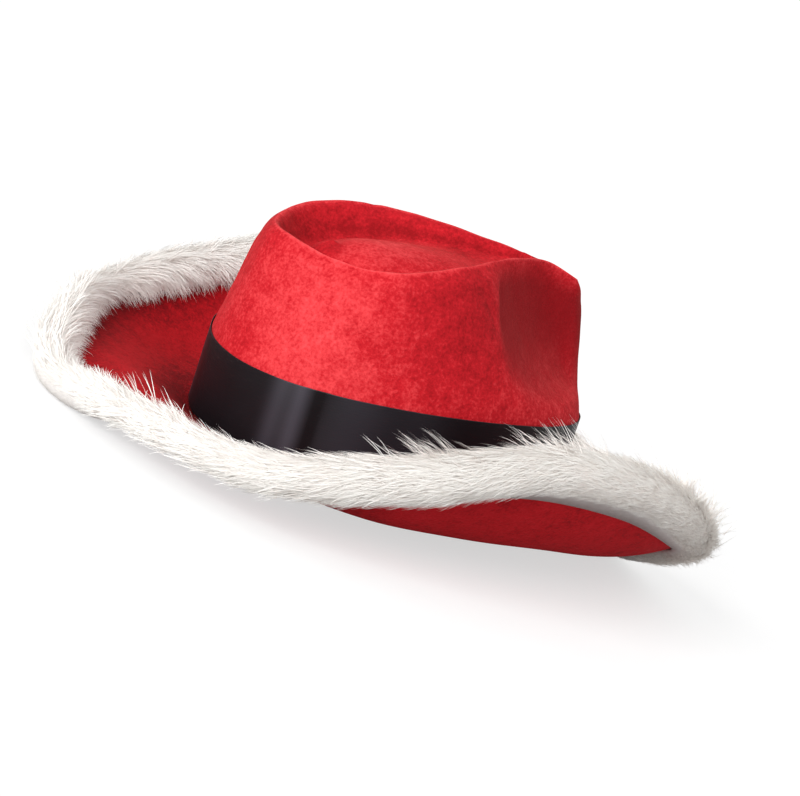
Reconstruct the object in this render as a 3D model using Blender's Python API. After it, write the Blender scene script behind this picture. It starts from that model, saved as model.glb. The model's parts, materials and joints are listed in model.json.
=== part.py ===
"""A western-style santa hat: plush crown and brim, satin band, fur-trimmed edge.

Metres, +Z up, +X towards the front of the hat, +Y towards its left side. The hat rests on
Z = 0 on its fur, and the origin is the middle of the box it fills, at the bottom.
"""

import math

import bmesh
import bpy
import numpy as np
from mathutils import Matrix

# Driving sizes
HEAD_LENGTH = 0.204
HEAD_WIDTH = 0.158
HEAD_EGG = 0.08
CLOTH = 0.0025
SEAM_GAP = 0.0003
FUR_GAP = 0.0008
SEAM_HEIGHT = 0.014
SEAM_RISE = 0.0075
CROWN_LEAN = math.radians(7.5)
CROWN_HEIGHT = 0.1145
CREASE_DEPTH = 0.015
CREST_LENGTH = 0.172
CREST_WIDTH = 0.114
BAND_WIDTH = 0.042
BAND_CLOTH = 0.001
BAND_CLEAR = 0.0012
BRIM_LENGTH = 0.364
BRIM_WIDTH = 0.316
CURL_HEIGHT = 0.074
FUR_REACH = 0.012
FUR_OVERLAP = 0.011
FUR_SET_BACK = 0.00275
LOCK_LENGTH = 0.004
FUR_PRESSED = 0.006

# How finely the solids are cut. Stations go round the hat, fur stations round its edge, and a
# lock is as wide as its number of fur stations. Fur stations are a multiple of the stations.
STATIONS = 72
FUR_STATIONS = 144
LOCK_STATIONS = 3
WALL_RINGS = 9
CREASE_RINGS = 6
BRIM_RINGS = 7
FUR_ROWS = 9

# Shares and angles: how much closer the wall's rings sit towards the crest, the least full lock
# against a full one, and how far round the brim's edge the fur reaches on each side
RING_CROWDING = 1.4
THINNEST_LOCK = 0.35
FUR_WRAP = math.radians(152)

# Places round one half of the crown, front to back. turn: share of the half turn. bearing: the
# place's angle on the seam oval, in degrees. crest_x and crest_y: the crest, as shares of half
# its length and width. crest_z: its height, as a share of the crown's. pinched: how far the wall
# below follows the pinched profile; under zero it swells out. sunk: share of the crease's depth.
# domed: how far the crease's floor rises in the middle. spine: where the floor closes, as a
# share of half the crest's length.
CROWN_PLACES = (
    # name, turn, bearing, crest_x, crest_y, crest_z, pinched, sunk, domed, spine
    ("nose", 0.00, 0.0, 1.00, 0.00, 0.93, -0.30, 0.00, 0.00, 0.72),
    ("nose_side", 0.07, 9.0, 0.97, 0.12, 0.945, 0.30, 0.10, 0.00, 0.68),
    ("neck", 0.17, 22.0, 0.71, 0.14, 1.02, 1.00, 0.40, 0.00, 0.54),
    ("pinch", 0.29, 44.0, 0.37, 0.40, 1.055, 1.00, 0.80, 0.25, 0.28),
    ("flank", 0.43, 76.0, -0.07, 0.83, 1.04, 0.30, 1.00, 0.85, -0.06),
    ("side", 0.57, 106.0, -0.50, 1.00, 0.985, 0.00, 1.00, 1.00, -0.38),
    ("back_side", 0.80, 148.0, -0.83, 0.61, 0.94, 0.00, 1.00, 1.00, -0.62),
    ("back", 1.00, 180.0, -1.00, 0.00, 0.95, 0.00, 0.95, 1.00, -0.68),
)

# The crown's wall from the top of the band to the crest. up: share of the height between them.
# plain and pinched: how far the wall has moved in from the seam oval to the crest's outline.
CROWN_WALL = (
    # up, plain, pinched
    (0.00, 0.00, 0.00),
    (0.13, 0.07, 0.10),
    (0.25, 0.15, 0.31),
    (0.42, 0.28, 0.54),
    (0.62, 0.45, 0.74),
    (0.82, 0.66, 0.89),
    (0.95, 0.84, 0.97),
    (1.00, 1.00, 1.00),
)

# The crease from the crest to its floor. inward: share of the way to the spine. domed and
# valley: share of the place's own depth where the floor is domed, and where it is a valley.
CREASE_WALL = (
    # inward, domed, valley
    (0.00, 0.00, 0.00),
    (0.09, 0.10, 0.10),
    (0.20, 0.55, 0.45),
    (0.32, 0.96, 0.72),
    (0.44, 0.94, 0.86),
    (0.66, 0.45, 0.97),
    (0.92, 0.15, 1.00),
)

# The brim's edge round one half, front to back. bearing: degrees. reach: share of the plain
# oval's radius. height: the edge's height, as a share of the curl. near and far: heights of
# the two handles of the brim's profile, one and two thirds of the way out, on the same scale.
BRIM_PLACES = (
    # bearing, reach, height, near, far
    (0.0, 0.91, 0.03, 0.18, 0.14),
    (22.5, 0.95, 0.37, 0.14, 0.14),
    (45.0, 1.02, 0.73, 0.08, 0.18),
    (67.5, 1.01, 1.00, 0.03, 0.24),
    (90.0, 0.99, 0.97, -0.02, 0.25),
    (112.5, 1.03, 0.64, -0.03, 0.18),
    (135.0, 1.06, 0.30, 0.03, 0.14),
    (157.5, 1.01, 0.18, 0.14, 0.12),
    (180.0, 1.03, 0.03, 0.24, 0.14),
)

HALF_TURN = 180.0

RED = (0.62, 0.012, 0.02)
BLACK = (0.012, 0.011, 0.013)
WHITE = (0.86, 0.85, 0.83)


def clear_scene():
    for thing in list(bpy.data.objects):
        bpy.data.objects.remove(thing, do_unlink=True)


def material(name, colour, roughness, metallic=0.0):
    made = bpy.data.materials.new(name)
    made.use_nodes = True
    shader = made.node_tree.nodes["Principled BSDF"]
    shader.inputs["Base Color"].default_value = (*colour, 1.0)
    shader.inputs["Roughness"].default_value = roughness
    shader.inputs["Metallic"].default_value = metallic
    return made


def through(knots, values, at):
    """A smooth curve through a table's values, read at the places given."""
    knots, values, at = (np.asarray(a, float) for a in (knots, values, at))
    slopes = np.gradient(values, knots, axis=0)
    i = np.clip(np.searchsorted(knots, at, side="right") - 1, 0, len(knots) - 2)
    step = knots[i + 1] - knots[i]
    s = (at - knots[i]) / step
    return (
        values[i] * (2 * s**3 - 3 * s**2 + 1)
        + slopes[i] * step * (s**3 - 2 * s**2 + s)
        + values[i + 1] * (3 * s**2 - 2 * s**3)
        + slopes[i + 1] * step * (s**3 - s**2)
    )


def round_half(knots, values, at, side=1.0):
    """The same for a table of one half of the hat, which carries on over the middle line.
    side is 1 for a value that is the same on both halves, and -1 for one that changes sign."""
    knots, values = np.asarray(knots, float), np.asarray(values, float)
    more_knots = [-knots[:0:-1], knots, 2 * knots[-1] - knots[-2::-1]]
    more_values = [side * values[:0:-1], values, side * values[-2::-1]]
    return through(np.concatenate(more_knots), np.concatenate(more_values), at)


def columns(table, first):
    return np.array([row[first:] for row in table], float).T


def seam_oval(bearing, off=0.0):
    """The outside of the crown at its seam, moved outwards by off; bearing is in radians."""
    long = HEAD_LENGTH / 2 + CLOTH + off
    wide = HEAD_WIDTH / 2 + CLOTH + off
    return np.stack(
        [
            long * np.cos(bearing),
            wide * np.sin(bearing) * (1 - HEAD_EGG * np.cos(bearing)),
        ],
        axis=-1,
    )


def seam_rise(bearing):
    """How far the seam has climbed above its front and back, to follow the brim's curl."""
    return SEAM_RISE * np.sin(bearing) ** 2


def stations():
    """Share of a half turn and side of each station, round the hat from the front by the left."""
    turn = 2.0 * np.arange(STATIONS) / STATIONS
    half = np.where(turn <= 1.0, turn, 2.0 - turn)
    side = np.where(turn <= 1.0, 1.0, -1.0)
    return half, side


def crown_places():
    """Each column of the crown's table, read at every station."""
    table = columns(CROWN_PLACES, 1)
    turn, bearing, crest_x, crest_y, crest_z, pinched, sunk, domed, spine = table
    half, side = stations()
    # The bearing grows through the whole turn, so it is read as its departure from even turning.
    departure = round_half(turn, bearing - HALF_TURN * turn, half, -1.0)
    crest = [
        round_half(turn, crest_x, half) * CREST_LENGTH / 2,
        round_half(turn, crest_y, half, -1.0) * CREST_WIDTH / 2 * side,
        round_half(turn, crest_z, half) * CROWN_HEIGHT,
    ]
    return {
        "bearing": np.radians(HALF_TURN * half + departure) * side,
        "crest": np.stack(crest, axis=-1),
        "pinched": round_half(turn, pinched, half),
        "sunk": round_half(turn, sunk, half) * CREASE_DEPTH,
        "domed": round_half(turn, domed, half),
        "spine": round_half(turn, spine, half) * CREST_LENGTH / 2,
    }


def crown_rings():
    """The outside of the crown from seam to crease floor, in its own upright frame."""
    place = crown_places()
    oval = seam_oval(place["bearing"])
    seam = seam_rise(place["bearing"])
    crest = place["crest"]
    rings = [np.column_stack([oval, seam])]
    up, plain, pinched = columns(CROWN_WALL, 0)
    for share in 1 - (1 - np.linspace(0, 1, WALL_RINGS)) ** RING_CROWDING:
        inward_plain = through(up, plain, share)
        inward_pinched = through(up, pinched, share)
        inward = inward_plain + (inward_pinched - inward_plain) * place["pinched"]
        flat = oval + (crest[:, :2] - oval) * inward[:, None]
        band_top = BAND_WIDTH + seam
        height = band_top + (crest[:, 2] - band_top) * share
        rings.append(np.column_stack([flat, height]))
    floor = np.column_stack([place["spine"], np.zeros(STATIONS)])
    inward, domed, valley = columns(CREASE_WALL, 0)
    for share in np.linspace(0, 1, CREASE_RINGS + 1)[1:]:
        at = share * inward[-1]
        flat = crest[:, :2] + (floor - crest[:, :2]) * at
        low = through(inward, valley, at)
        down = low + (through(inward, domed, at) - low) * place["domed"]
        rings.append(np.column_stack([flat, crest[:, 2] - place["sunk"] * down]))
    return rings


def ring_faces(first, second, count=STATIONS):
    """Four-sided faces between two rings of points, given the index of each ring's first."""
    turn = [(i, (i + 1) % count) for i in range(count)]
    return [(first + i, first + j, second + j, second + i) for i, j in turn]


def mirror_faces(first, count=STATIONS):
    """Faces that close a ring across the hat's middle line."""
    faces = []
    for i in range(count // 2):
        left, right = first + i, first + (-i) % count
        left_next, right_next = first + i + 1, first + (-i - 1) % count
        corners = [left, left_next, right_next, right]
        faces.append(tuple(dict.fromkeys(corners)))
    return faces


def vertex_normals(points, faces):
    normals = np.zeros_like(points)
    for face in faces:
        p = points[list(face)]
        across = np.cross(p[2] - p[0], p[-1] - p[1])
        normals[list(face)] += across
    return normals / np.linalg.norm(normals, axis=1)[:, None]


def mesh_object(name, points, faces, paint, parent):
    mesh = bpy.data.meshes.new(name)
    mesh.from_pydata([tuple(p) for p in points], [], faces)
    shape = bmesh.new()
    shape.from_mesh(mesh)
    bmesh.ops.recalc_face_normals(shape, faces=shape.faces)
    shape.to_mesh(mesh)
    shape.free()
    mesh.shade_smooth()
    mesh.materials.append(paint)
    made = bpy.data.objects.new(name, mesh)
    bpy.context.scene.collection.objects.link(made)
    made.parent = parent
    return made


def crown(paint, parent):
    rings = crown_rings()
    points = np.concatenate(rings)
    faces = []
    for i in range(len(rings) - 1):
        faces += ring_faces(i * STATIONS, (i + 1) * STATIONS)
    faces += mirror_faces((len(rings) - 1) * STATIONS)
    inner = points - vertex_normals(points, faces) * CLOTH
    seam = slice(0, STATIONS)
    bearing = crown_places()["bearing"]
    inner[seam] = np.column_stack([seam_oval(bearing, -CLOTH), seam_rise(bearing)])
    count = len(points)
    faces += [tuple(count + i for i in reversed(face)) for face in faces]
    faces += ring_faces(count, 0)
    made = mesh_object("crown", np.concatenate([points, inner]), faces, paint, parent)
    made.matrix_local = crown_seat(SEAM_GAP)
    return made


def crown_seat(lift=0.0):
    """Where the crown's own upright frame stands in the hat's."""
    lean = Matrix.Rotation(-CROWN_LEAN, 4, "Y")
    return Matrix.Translation((0, 0, SEAM_HEIGHT)) @ lean @ Matrix.Translation((0, 0, lift))


def hat_band(paint, parent):
    """The ribbon: a ring of cloth round the foot of the crown, a gap clear of it."""
    bearing = crown_places()["bearing"]
    foot, top = BAND_CLEAR, BAND_WIDTH
    rings = [
        np.column_stack([seam_oval(bearing, off), seam_rise(bearing) + height])
        for off, height in (
            (SEAM_GAP, foot),
            (SEAM_GAP + BAND_CLOTH, foot),
            (SEAM_GAP + BAND_CLOTH, top),
            (SEAM_GAP, top),
        )
    ]
    faces = []
    for i in range(len(rings)):
        faces += ring_faces(i * STATIONS, (i + 1) % len(rings) * STATIONS)
    made = mesh_object("hat_band", np.concatenate(rings), faces, paint, parent)
    made.matrix_local = crown_seat(SEAM_GAP)
    return made


def brim_lines():
    """The middle of the brim's cloth: its inner margin, its edge and its profile's handles."""
    place = crown_places()
    seat = np.array(crown_seat())
    margin = []
    for off in (-CLOTH, CLOTH):
        flat = seam_oval(place["bearing"], off)
        low = seam_rise(place["bearing"]) - CLOTH / 2
        local = np.column_stack([flat, low, np.ones(STATIONS)])
        margin.append((local @ seat.T)[:, :3])
    bearing, reach, height, near, far = columns(BRIM_PLACES, 0)
    half, side = stations()
    at = HALF_TURN * half
    angle = np.radians(at) * side
    radius = round_half(bearing, reach, at) / np.hypot(
        np.cos(angle) / (BRIM_LENGTH / 2), np.sin(angle) / (BRIM_WIDTH / 2)
    )
    level, near, far = (
        round_half(bearing, column, at) * CURL_HEIGHT for column in (height, near, far)
    )
    edge = np.column_stack([radius * np.cos(angle), radius * np.sin(angle), level])
    return margin, edge, near, far


def brim_ring(share):
    """The middle of the cloth at a share of the way from its inner margin to its edge."""
    (_, root), edge, near, far = brim_lines()
    flat = root[:, :2] + (edge[:, :2] - root[:, :2]) * share
    rest = 1 - share
    height = (
        root[:, 2] * rest**3 + 3 * near * rest**2 * share + 3 * far * rest * share**2
        + edge[:, 2] * share**3
    )
    return np.column_stack([flat, height])


def brim_shares():
    """Where the brim's rings lie. The last three carry the fur: where it starts, half way, edge."""
    (_, root), edge, _, _ = brim_lines()
    overlap = FUR_OVERLAP / np.linalg.norm(edge - root, axis=1).mean()
    plain = np.linspace(0, 1 - overlap, BRIM_RINGS - 2)
    return [*plain, 1 - overlap / 2, 1.0]


def brim_surface():
    """Rings down the middle of the brim's cloth and the cloth's direction at each point."""
    (inner, _), _, _, _ = brim_lines()
    rings = [inner] + [brim_ring(share) for share in brim_shares()]
    points = np.concatenate(rings)
    faces = []
    for i in range(len(rings) - 1):
        faces += ring_faces((i + 1) * STATIONS, i * STATIONS)
    normals = vertex_normals(points, faces)
    return points.reshape(len(rings), STATIONS, 3), normals.reshape(len(rings), STATIONS, 3)


def brim(paint, parent):
    middle, normals = brim_surface()
    seat = np.array(crown_seat())[:3, :3]
    normals[:2] = seat @ np.array([0.0, 0.0, 1.0])
    top = (middle + normals * CLOTH / 2).reshape(-1, 3)
    under = (middle - normals * CLOTH / 2).reshape(-1, 3)
    count = len(top)
    faces = []
    for i in range(len(middle) - 1):
        faces += ring_faces((i + 1) * STATIONS, i * STATIONS)
        faces += ring_faces(count + i * STATIONS, count + (i + 1) * STATIONS)
    faces += ring_faces(0, count)
    faces += ring_faces(2 * count - STATIONS, count - STATIONS)
    return mesh_object("brim", np.concatenate([top, under]), faces, paint, parent)


def between(ring, each):
    """A ring of points with each - 1 more put evenly on each straight stretch."""
    ahead = np.roll(ring, -1, axis=0)
    steps = [ring + (ahead - ring) * k / each for k in range(each)]
    return np.stack(steps, axis=1).reshape(-1, 3)


def locks(row):
    """How far each point of a row of fur stands out, from 0 between locks to 1 at a full tip."""
    along = np.arange(FUR_STATIONS) / LOCK_STATIONS + row / 2
    tip = 1 - 2 * np.abs(along % 1 - 0.5)
    chance = np.random.default_rng(row)
    fullness = chance.uniform(THINNEST_LOCK, 1, FUR_STATIONS // LOCK_STATIONS)
    return tip * fullness[along.astype(int) % len(fullness)]


def fur_trim(paint, parent):
    """The fur strip: a slotted roll over the brim's edge, its outside drawn out in locks."""
    middle, normals = brim_surface()
    each = FUR_STATIONS // STATIONS
    spine = [between(ring, each) for ring in middle[-3:]]
    across = [between(ring, each) for ring in normals[-3:]]
    start, half_way, edge = spine
    outward = edge - start
    outward /= np.linalg.norm(outward, axis=1)[:, None]
    clear = CLOTH / 2 + FUR_GAP
    section = [point + clear * up for point, up in zip(spine, across)]
    slot_under = [point - clear * up for point, up in zip(spine, across)]
    section[2] = section[2] + outward * FUR_GAP
    slot_under[2] = slot_under[2] + outward * FUR_GAP
    section += slot_under[::-1]
    centre = edge - outward * FUR_SET_BACK
    for row, place in enumerate(np.linspace(-1, 1, FUR_ROWS)):
        angle = FUR_WRAP * place
        lean = outward * math.cos(angle) + across[2] * math.sin(angle)
        reach = FUR_REACH + LOCK_LENGTH * locks(row)
        section.append(centre + lean * reach[:, None])
    points = np.concatenate(section)
    floor = points[:, 2].min() + FUR_PRESSED
    points[:, 2] = np.maximum(points[:, 2], floor)
    faces = []
    for i in range(len(section)):
        after = (i + 1) % len(section)
        faces += ring_faces(i * FUR_STATIONS, after * FUR_STATIONS, FUR_STATIONS)
    return mesh_object("fur_trim", points, faces, paint, parent)


def stand_on_floor(frame, pieces):
    """Moves the hat so that the origin is the middle of its box, at the bottom."""
    bpy.context.view_layer.update()
    corners = np.array(
        [piece.matrix_world @ v.co for piece in pieces for v in piece.data.vertices]
    )
    low, high = corners.min(axis=0), corners.max(axis=0)
    frame.location = (-(low[0] + high[0]) / 2, -(low[1] + high[1]) / 2, -low[2])


def main():
    clear_scene()
    frame = bpy.data.objects.new("hat", None)
    bpy.context.scene.collection.objects.link(frame)
    plush = material("red_plush", RED, 0.9)
    satin = material("black_satin", BLACK, 0.35)
    fur = material("white_fur", WHITE, 0.95)
    pieces = [
        crown(plush, frame),
        hat_band(satin, frame),
        brim(plush, frame),
        fur_trim(fur, frame),
    ]
    stand_on_floor(frame, pieces)


main()
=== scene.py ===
"""A western-style santa hat: plush crown and brim, satin ribbon, faux fur round the edge.

Metres, +Z up, +X towards the front of the hat, +Y towards its left side, in the CAD's frame.
"""

import json
import math

import bmesh
import bpy
import numpy as np
from mathutils import Matrix, Vector
from mathutils.bvhtree import BVHTree

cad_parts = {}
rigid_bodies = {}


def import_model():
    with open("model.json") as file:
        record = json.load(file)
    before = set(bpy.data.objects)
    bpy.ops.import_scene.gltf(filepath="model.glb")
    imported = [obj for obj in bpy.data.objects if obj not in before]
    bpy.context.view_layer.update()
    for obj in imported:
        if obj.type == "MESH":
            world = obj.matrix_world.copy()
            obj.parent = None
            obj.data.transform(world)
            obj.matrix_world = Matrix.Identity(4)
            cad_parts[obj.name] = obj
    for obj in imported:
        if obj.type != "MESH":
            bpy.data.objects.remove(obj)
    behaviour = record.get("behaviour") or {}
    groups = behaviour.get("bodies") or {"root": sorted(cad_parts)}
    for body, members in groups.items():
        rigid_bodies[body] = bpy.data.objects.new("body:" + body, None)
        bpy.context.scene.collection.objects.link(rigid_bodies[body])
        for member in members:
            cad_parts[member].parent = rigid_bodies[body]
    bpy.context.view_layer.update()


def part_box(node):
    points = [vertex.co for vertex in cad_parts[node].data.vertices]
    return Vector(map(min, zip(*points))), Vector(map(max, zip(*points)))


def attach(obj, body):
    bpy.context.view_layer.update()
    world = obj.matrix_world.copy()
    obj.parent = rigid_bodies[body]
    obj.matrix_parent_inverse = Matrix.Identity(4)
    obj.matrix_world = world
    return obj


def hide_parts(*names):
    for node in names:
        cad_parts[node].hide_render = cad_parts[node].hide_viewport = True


# The solids' own sizes, from which every soft piece here is cut again, more finely
HEAD_LENGTH = 0.204
HEAD_WIDTH = 0.158
HEAD_EGG = 0.08
CLOTH = 0.0025
SEAM_GAP = 0.0003
FUR_GAP = 0.0008
SEAM_HEIGHT = 0.014
SEAM_RISE = 0.0075
CROWN_LEAN = math.radians(7.5)
CROWN_HEIGHT = 0.1145
CREASE_DEPTH = 0.015
CREST_LENGTH = 0.172
CREST_WIDTH = 0.114
BAND_WIDTH = 0.042
BAND_CLOTH = 0.001
BRIM_LENGTH = 0.364
BRIM_WIDTH = 0.316
SIDE_CURL = 0.074
FUR_OVERLAP = 0.011
FUR_WRAP = math.radians(152)

# How finely the cloth is cut
STATIONS = 288
BAND_RINGS = 5
WALL_RINGS = 44
CREASE_RINGS = 34
RING_CROWDING = 1.4
BRIM_RINGS = 40
RIBBON_ROWS = 16
WALL_SHARES = 1 - (1 - np.linspace(0, 1, WALL_RINGS)) ** RING_CROWDING
CREASE_SHARES = np.linspace(0, 1, CREASE_RINGS + 1)[1:]

# The crown's crest, its wall's and crease's profiles, and the brim, as the solids have them
CROWN_PLACES = (
    # turn, bearing, crest_x, crest_y, crest_z, pinched, sunk, domed, spine
    (0.0, 0.0, 1.0, 0.0, 0.93, -0.3, 0.0, 0.0, 0.72),
    (0.07, 9.0, 0.97, 0.12, 0.945, 0.3, 0.1, 0.0, 0.68),
    (0.17, 22.0, 0.71, 0.14, 1.02, 1.0, 0.4, 0.0, 0.54),
    (0.29, 44.0, 0.37, 0.4, 1.055, 1.0, 0.8, 0.0, 0.28),
    (0.43, 76.0, -0.07, 0.83, 1.04, 0.3, 1.0, 0.45, -0.06),
    (0.57, 106.0, -0.5, 1.0, 0.985, 0.0, 1.0, 0.92, -0.38),
    (0.8, 148.0, -0.83, 0.61, 0.94, 0.0, 1.0, 1.0, -0.62),
    (1.0, 180.0, -1.0, 0.0, 0.95, 0.0, 0.95, 1.0, -0.68),
)
CROWN_WALL = (
    # up, plain, pinched
    (0.0, 0.0, 0.0),
    (0.13, 0.07, 0.1),
    (0.25, 0.15, 0.31),
    (0.42, 0.28, 0.54),
    (0.62, 0.45, 0.74),
    (0.82, 0.66, 0.89),
    (0.95, 0.84, 0.97),
    (1.0, 1.0, 1.0),
)
CREASE_WALL = (
    # inward, domed, valley
    (0.0, 0.0, 0.0),
    (0.09, 0.1, 0.1),
    (0.2, 0.55, 0.45),
    (0.32, 0.96, 0.72),
    (0.44, 0.94, 0.86),
    (0.66, 0.45, 0.97),
    (0.92, 0.15, 1.0),
)
BRIM_PLACES = (
    # bearing, reach, height, near, far
    (0.0, 0.91, 0.03, 0.18, 0.14),
    (22.5, 0.95, 0.37, 0.14, 0.14),
    (45.0, 1.02, 0.73, 0.08, 0.18),
    (67.5, 1.01, 1.0, 0.03, 0.24),
    (90.0, 0.99, 0.97, -0.02, 0.25),
    (112.5, 1.03, 0.64, -0.03, 0.18),
    (135.0, 1.06, 0.3, 0.03, 0.14),
    (157.5, 1.01, 0.18, 0.14, 0.12),
    (180.0, 1.03, 0.03, 0.24, 0.14),
)

# How the soft crest has slumped out of its true line: turn, and how far along x and z
CREST_SLUMP = (
    (-1.0, -0.0052, -0.0014),
    (-0.88, -0.0042, -0.0016),
    (-0.76, -0.0012, -0.0013),
    (-0.62, 0.0002, -0.0008),
    (-0.45, 0.0, -0.0003),
    (-0.25, 0.0, 0.0002),
    (-0.14, -0.0008, 0.0022),
    (-0.05, -0.0022, 0.0036),
    (0.0, -0.0008, 0.0032),
    (0.06, -0.0006, 0.0022),
    (0.13, 0.0, -0.0002),
    (0.22, 0.001, -0.0022),
    (0.29, 0.0018, -0.0036),
    (0.4, 0.0006, -0.0018),
    (0.52, 0.0, -0.0002),
    (0.66, -0.0012, -0.0011),
    (0.75, -0.004, -0.0005),
    (0.85, -0.0054, -0.0004),
    (1.0, -0.0052, -0.0014),
)
SLUMP_REACH = 0.6

# The cloth's inner face keeps to this share of the way to the cloth behind it, which rays find
# that start just inside
WALL_SHARE = 0.4
RAY_START = 0.0002

# The pinch's pressed hollow, seen from the side in the crown's own frame: its outline and depth,
# how soft its lip is, and how it fades out below the crest, in wall heights, and at the nose
HOLLOW_BACK = 0.0165
HOLLOW_FOOT = 0.058
HOLLOW_CORNER = 0.042
HOLLOW_DEPTH = 0.0017
HOLLOW_LIP = 0.005
HOLLOW_FOOT_LIP = 0.013
HOLLOW_FADE = 0.2
HOLLOW_FRONT = 0.094
HOLLOW_FRONT_FADE = 0.012

# How far the hollow goes over to the deeper red of pressed nap, partly painted shade, at its top,
# and how that lessens towards the foot
PRESSED_SHADE_TOP = 0.88
PRESSED_SHADE_LOSS = 0.45
PRESSED_FROM = 0.088
PRESSED_FADE = 0.028

# The crown's slow swells and its nap's mottles: height, size, seed; where the swells begin above
# the ribbon; and the nap's own level
CROWN_SWELLS = ((0.0009, 0.06, 3), (0.0003, 0.018, 4))
CROWN_MOTTLES = ((0.12, 0.030, 14), (0.08, 0.011, 15))
SWELL_FROM = 0.004
SWELL_FADE = 0.012
CROWN_NAP = 0.42
INSIDE_NAP = 0.4

# A painted highlight along the crest, where the nap is seen edge on, its half width in rings, and
# painted shade in the valley round the dome, in shares of the crease
CREST_PAINTED_HIGHLIGHT = 0.85
CREST_HIGHLIGHT_HALF = 1.6
VALLEY_SHADE = 0.45
VALLEY_HALF = 0.09
VALLEY_PLACE = 0.27

# Where light and shade are painted on the crown's nap, lighter or deeper: middle, radius, share
PAINTED_LIGHT_PATCHES = (
    ((-0.078, -0.048, 0.068), 0.046, 0.66),
    ((-0.01, -0.064, 0.096), 0.038, -0.52),
    ((-0.098, -0.016, 0.056), 0.014, -0.35),
    ((-0.06, -0.064, 0.073), 0.01, -0.35),
    ((0.03, -0.064, 0.058), 0.03, 0.12),
    ((-0.035, -0.004, 0.112), 0.026, 0.4),
    ((-0.074, 0.004, 0.101), 0.018, -0.85),
    ((-0.03, 0.046, 0.108), 0.03, -0.45),
    ((0.03, 0.022, 0.116), 0.028, -0.4),
)

# Folds in the crown's plush, in the crown's own frame: both ends, half width, depth
FOLDS = (
    ((-0.066, -0.06, 0.078), (-0.041, -0.075, 0.062), 0.004, 0.0011),
    ((-0.064, 0.036, 0.104), (-0.05, 0.047, 0.107), 0.003, 0.0014),
    ((-0.028, 0.046, 0.111), (-0.018, 0.05, 0.115), 0.003, 0.0012),
    ((0.004, -0.056, 0.108), (0.013, -0.058, 0.09), 0.0035, 0.0007),
)

# The brim's ripple and its nap's mottles: height, size, seed; its nap's levels; and how much
# painted shade lies beside the crown, over the back, and at the back's edge
BRIM_SWELLS = ((0.0008, 0.07, 8),)
BRIM_MOTTLES = ((0.22, 0.05, 16),)
BRIM_PRESSED = 0.1
BRIM_NAP = 0.65
BRIM_UNDER_NAP = 0.42
BRIM_FOOT_SHADE = 0.85
BRIM_FOOT_REACH = 0.32
BRIM_BACK_SHADE = 0.2
BRIM_EDGE_SHADE = 0.9
BRIM_BACK_TURN = math.radians(20)

# The ribbon: how high its foot lies, how far it stands out there and how much less at its top,
# its thickness, its least painted sheen, and its waves: height and number
BAND_LIFT = 4 * SEAM_GAP
RIBBON_PROUD = 0.0009
RIBBON_HUG = 0.0004
RIBBON_CLOTH = 0.0003
RIBBON_LEAST_SHEEN = 0.03
RIBBON_WAVE, RIBBON_WAVES = 0.0003, 7
RIBBON_RUCK, RIBBON_RUCKS = 0.00018, 17

# Upright folds in the ribbon: bearing and half width in degrees, and how far each stands out
RIBBON_FOLDS = (
    (-144.0, 5.0, 0.0012),
    (-133.0, 2.2, -0.0008),
    (-125.0, 5.0, 0.0006),
    (-62.0, 5.0, 0.0006),
    (38.0, 4.0, 0.0007),
    (96.0, 5.0, 0.0008),
    (151.0, 3.0, 0.0006),
)

# Painted sheen on the ribbon, lighter bands where the satin catches the light, and a painted dark
# line at its crease: bearing and half width in degrees, share
RIBBON_PAINTED_SHEENS = (
    (-146.5, 3.6, 0.55),
    (-140.0, 2.6, 0.8),
    (-134.5, 1.6, -0.25),
    (-122.0, 9.0, 0.34),
    (-104.0, 8.0, 0.16),
    (-30.0, 9.0, 0.45),
    (38.0, 7.0, 0.5),
    (100.0, 8.0, 0.4),
    (156.0, 6.0, 0.5),
)

# The fur's backing: its roll's radius, how uneven that is, how far its middle lies inside the
# brim's edge, and where it is thinner: bearing and half width in degrees, and by how much
PILE_RADIUS = 0.0102
ROLL_LUMPS = 0.06
ROLL_INSET = FUR_OVERLAP / 4
ROLL_ROWS = 26
THIN_PLACES = ((-152.0, 21.0, 0.0031), (150.0, 24.0, 0.0016), (0.0, 12.0, 0.0012))
FLOOR_CLEAR = 0.0002

# The fur's pile: how long its locks are, how many cover a square metre, how wide they stand at
# their roots and how far their tips gather
PILE_LENGTH = 0.016
LOCK_SIZES = (0.8, 1.2)
LOCK_DENSITY = 318000
LOCK_SHAPES = 8
LOCK_SPREAD = 0.0026
LOCK_GATHER = (0.1, 0.55)
FUR_SEED = 11

# Each lock's strands: how they rise at the root and fall at the tip, how they turn aside and
# twist, all in degrees, and the least and most of their length
STRANDS_PER_LOCK = 6
STRAND_STEPS = 4
STRAND_WIDTH = 0.00032
STRAND_RISE = (10, 24)
STRAND_FALL = (-14, 0)
STRAND_TURN = 7
STRAND_TWIST = (-30, 30)
STRAND_SIZES = (0.72, 1.08)

# How the pile is combed along the strip and, on the far side, in over the brim, and how its
# locks stray and nod
COMB_SWIRL = 0.18
COMB_RUFFLE = 0.16
COMB_DROOP = 0.12
COMB_INWARDS = 0.9
COMB_LEAVES = 0.55
LOCK_STRAY = 0.16
LOCK_NOD = (-0.1, 0.16)

# How the pile's length varies: by chance, in the strip's bends, on its underside, and where it is
# trodden down below a height
NAP_UNEVEN = 0.17
NAP_BEND_LOSS = 0.6
NAP_UNDER_LOSS = 0.35
TRODDEN_BELOW = 0.011
TRODDEN_FADE = 0.008
TRODDEN_LOSS = 0.75

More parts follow.
